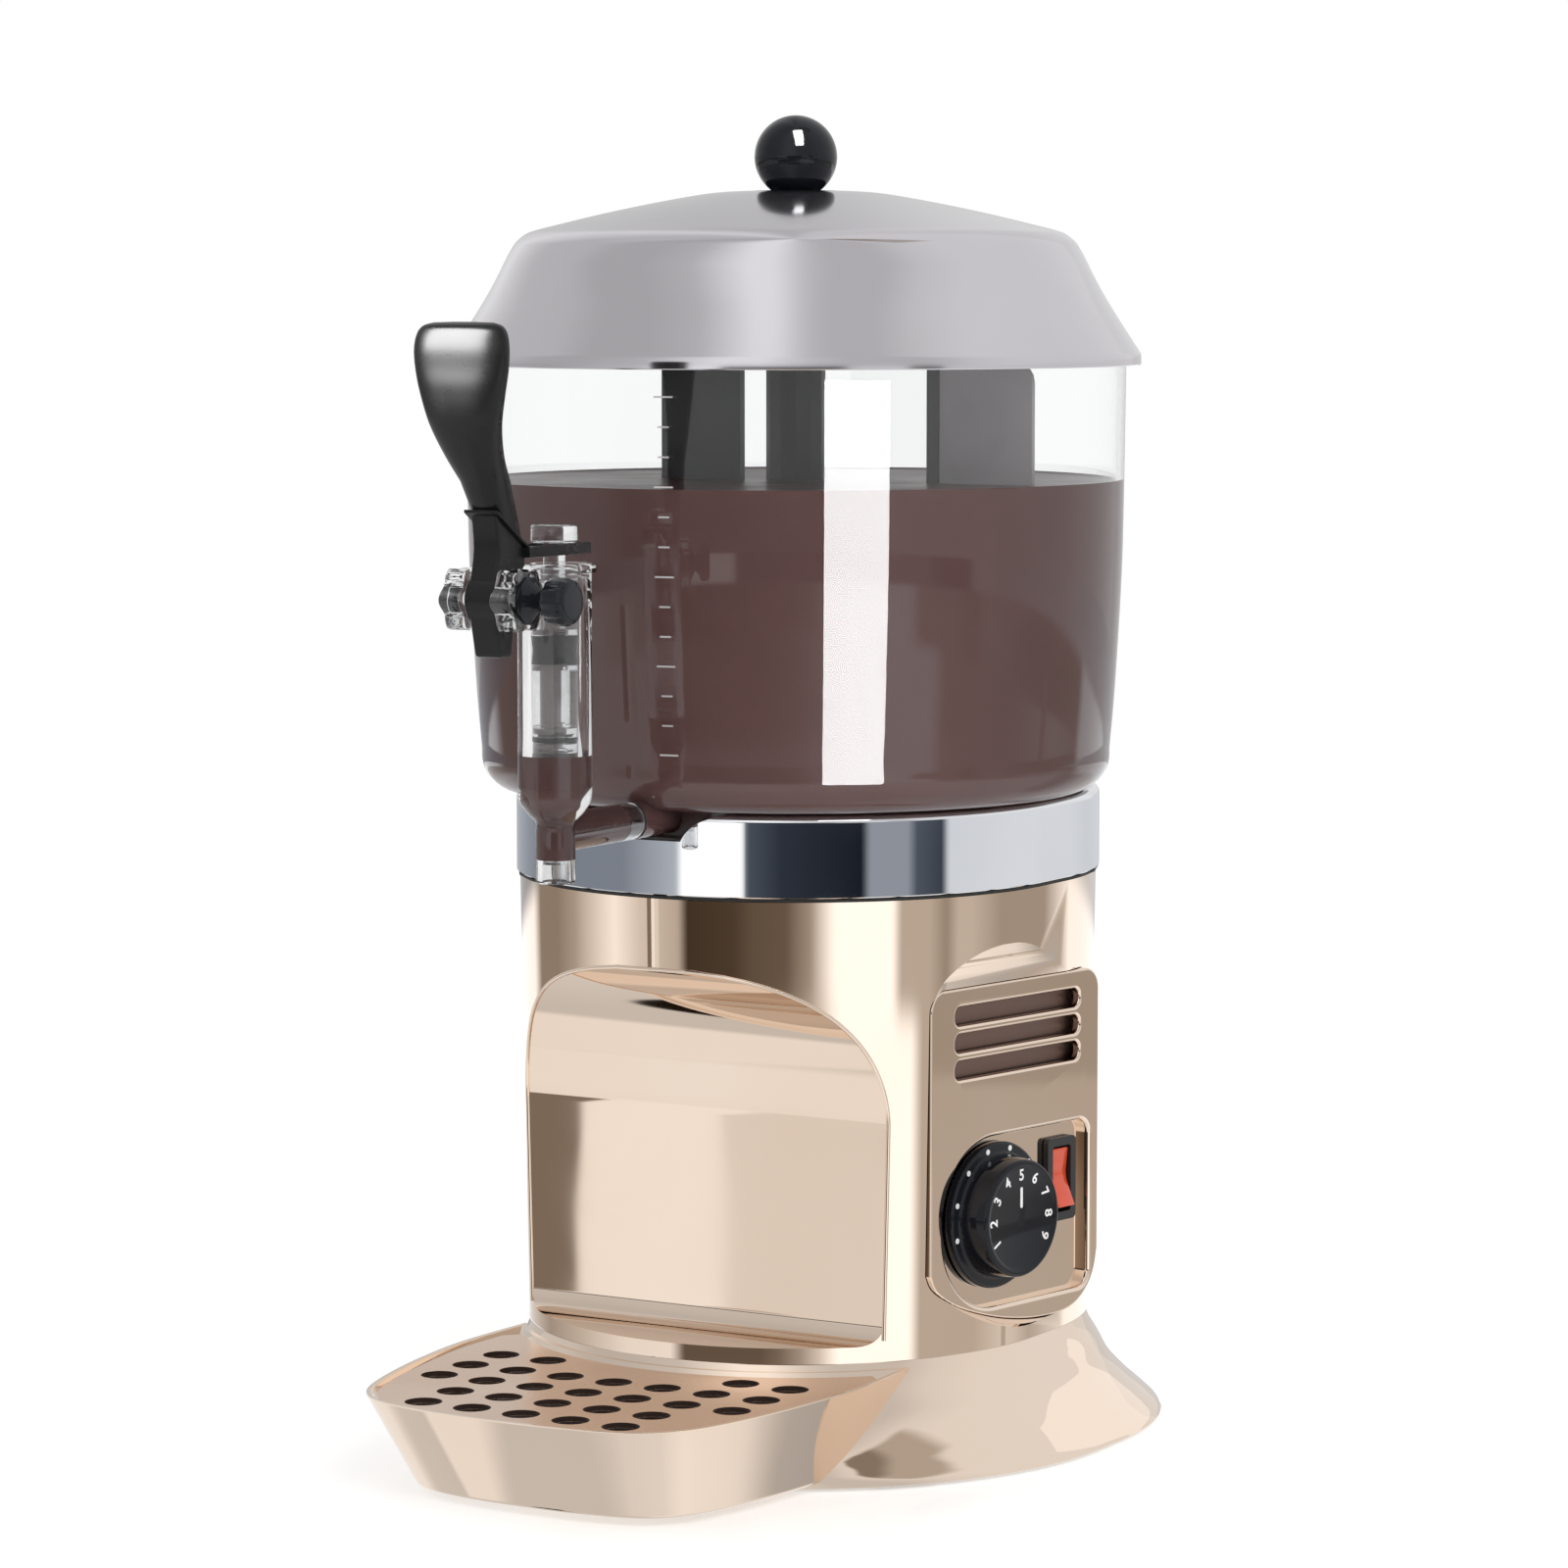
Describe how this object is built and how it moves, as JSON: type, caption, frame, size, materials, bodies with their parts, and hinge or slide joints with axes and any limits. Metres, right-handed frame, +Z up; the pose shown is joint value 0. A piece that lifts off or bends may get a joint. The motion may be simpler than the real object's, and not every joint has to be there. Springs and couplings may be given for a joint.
{
  "type": "hot chocolate dispenser",
  "caption": "Countertop hot chocolate dispenser with a clear heated bowl, stirrer, lever tap, lift-off lid, side controls and a drip tray in a flared-foot tower.",
  "frame": {"origin": "centre of the bounding box at the underside of the rubber feet", "axes": "+Z up, -Y towards the front with the tap and drip tray, +X towards the machine's control side"},
  "size_m": [0.2696, 0.3962, 0.51],
  "materials": {
    "champagne_plate": "warm champagne plating, polished",
    "silver_plate": "silver plating, polished",
    "chrome": "bright chrome",
    "grille_plate": "warm champagne, satin",
    "clear_plastic": "clear polycarbonate",
    "frosted_plastic": "smoky grey, matt",
    "black_gloss": "black, glossy",
    "black_moulding": "black, satin",
    "red_lens": "translucent red",
    "rubber": "black rubber",
    "stainless": "stainless, satin",
    "zinc_steel": "zinc-plated sheet",
    "white_moulding": "off-white moulding"
  },
  "bodies": {
    "housing": {"body_shell": "champagne_plate", "control_panel": "champagne_plate", "base_plate": "zinc_steel", "foot_front_left": "rubber", "foot_front_right": "rubber", "foot_rear_left": "rubber", "foot_rear_right": "rubber", "collar": "chrome", "collar_gasket": "rubber", "water_tank": "stainless", "bowl_gasket": "rubber", "heating_element": "stainless", "motor_plate": "zinc_steel", "gearmotor": "zinc_steel", "motor_screw_1": "stainless", "motor_screw_2": "stainless", "motor_screw_3": "stainless", "motor_screw_4": "stainless", "thermostat": "white_moulding", "rocker_frame": "black_moulding", "terminal_block": "white_moulding", "cord_gland": "black_moulding"},
    "bowl": {"bowl": "clear_plastic", "tap_body": "clear_plastic", "outlet_seal": "rubber", "pivot_pin": "black_gloss"},
    "lid": {"lid": "silver_plate", "lid_knob": "black_gloss", "knob_rosette": "black_gloss", "knob_screw": "stainless"},
    "lever": {"lever_arm": "black_gloss", "lever_paddle": "black_gloss"},
    "piston": {"piston": "clear_plastic", "piston_cup_seal": "rubber", "piston_ring_seal": "rubber"},
    "shaft": {"drive_shaft": "stainless"},
    "agitator": {"agitator": "black_moulding", "scraper_blade": "frosted_plastic"},
    "dial": {"dial": "black_gloss", "dial_shaft": "stainless"},
    "rocker": {"rocker": "red_lens"},
    "tray": {"drip_tray": "champagne_plate"},
    "grille": {"drip_grille": "grille_plate"}
  },
  "joints": [
    {"name": "bowl_lift", "type": "slide", "parent": "housing", "child": "bowl", "axis": [0, 0, 1], "range_m": [0, 0.18]},
    {"name": "lid_lift", "type": "slide", "parent": "bowl", "child": "lid", "axis": [0, 0, 1], "range_m": [0, 0.1]},
    {"name": "lever_pull", "type": "hinge", "parent": "bowl", "child": "lever", "pos_m": [0, -0.17421, 0.334], "axis": [1, 0, 0], "range_deg": [0, 22]},
    {"name": "piston_lift", "type": "slide", "parent": "bowl", "child": "piston", "axis": [0, 0, 1], "range_m": [0, 0.0195]},
    {"name": "shaft_spin", "type": "hinge", "parent": "housing", "child": "shaft", "pos_m": [0, 0.04179, 0.25], "axis": [0, 0, 1], "continuous": true},
    {"name": "agitator_spin", "type": "hinge", "parent": "bowl", "child": "agitator", "pos_m": [0, 0.04179, 0.33], "axis": [0, 0, 1], "continuous": true},
    {"name": "dial_turn", "type": "hinge", "parent": "housing", "child": "dial", "pos_m": [0.09903, 0.02458, 0.0915], "axis": [0.9816, -0.1908, 0], "range_deg": [-135, 135]},
    {"name": "rocker_press", "type": "hinge", "parent": "housing", "child": "rocker", "pos_m": [0.10215, 0.06574, 0.1], "axis": [0.1908, 0.9816, 0], "range_deg": [0, 18]},
    {"name": "tray_pull", "type": "slide", "parent": "housing", "child": "tray", "axis": [0, -1, 0], "range_m": [0, 0.16]},
    {"name": "grille_lift", "type": "slide", "parent": "tray", "child": "grille", "axis": [0, 0, 1], "range_m": [0, 0.06]}
  ],
  "couplings": [
    {"joint": "piston_lift", "follows": "lever_pull", "m_per_rad": 0.05},
    {"joint": "shaft_spin", "follows": "agitator_spin", "ratio": 1}
  ]
}
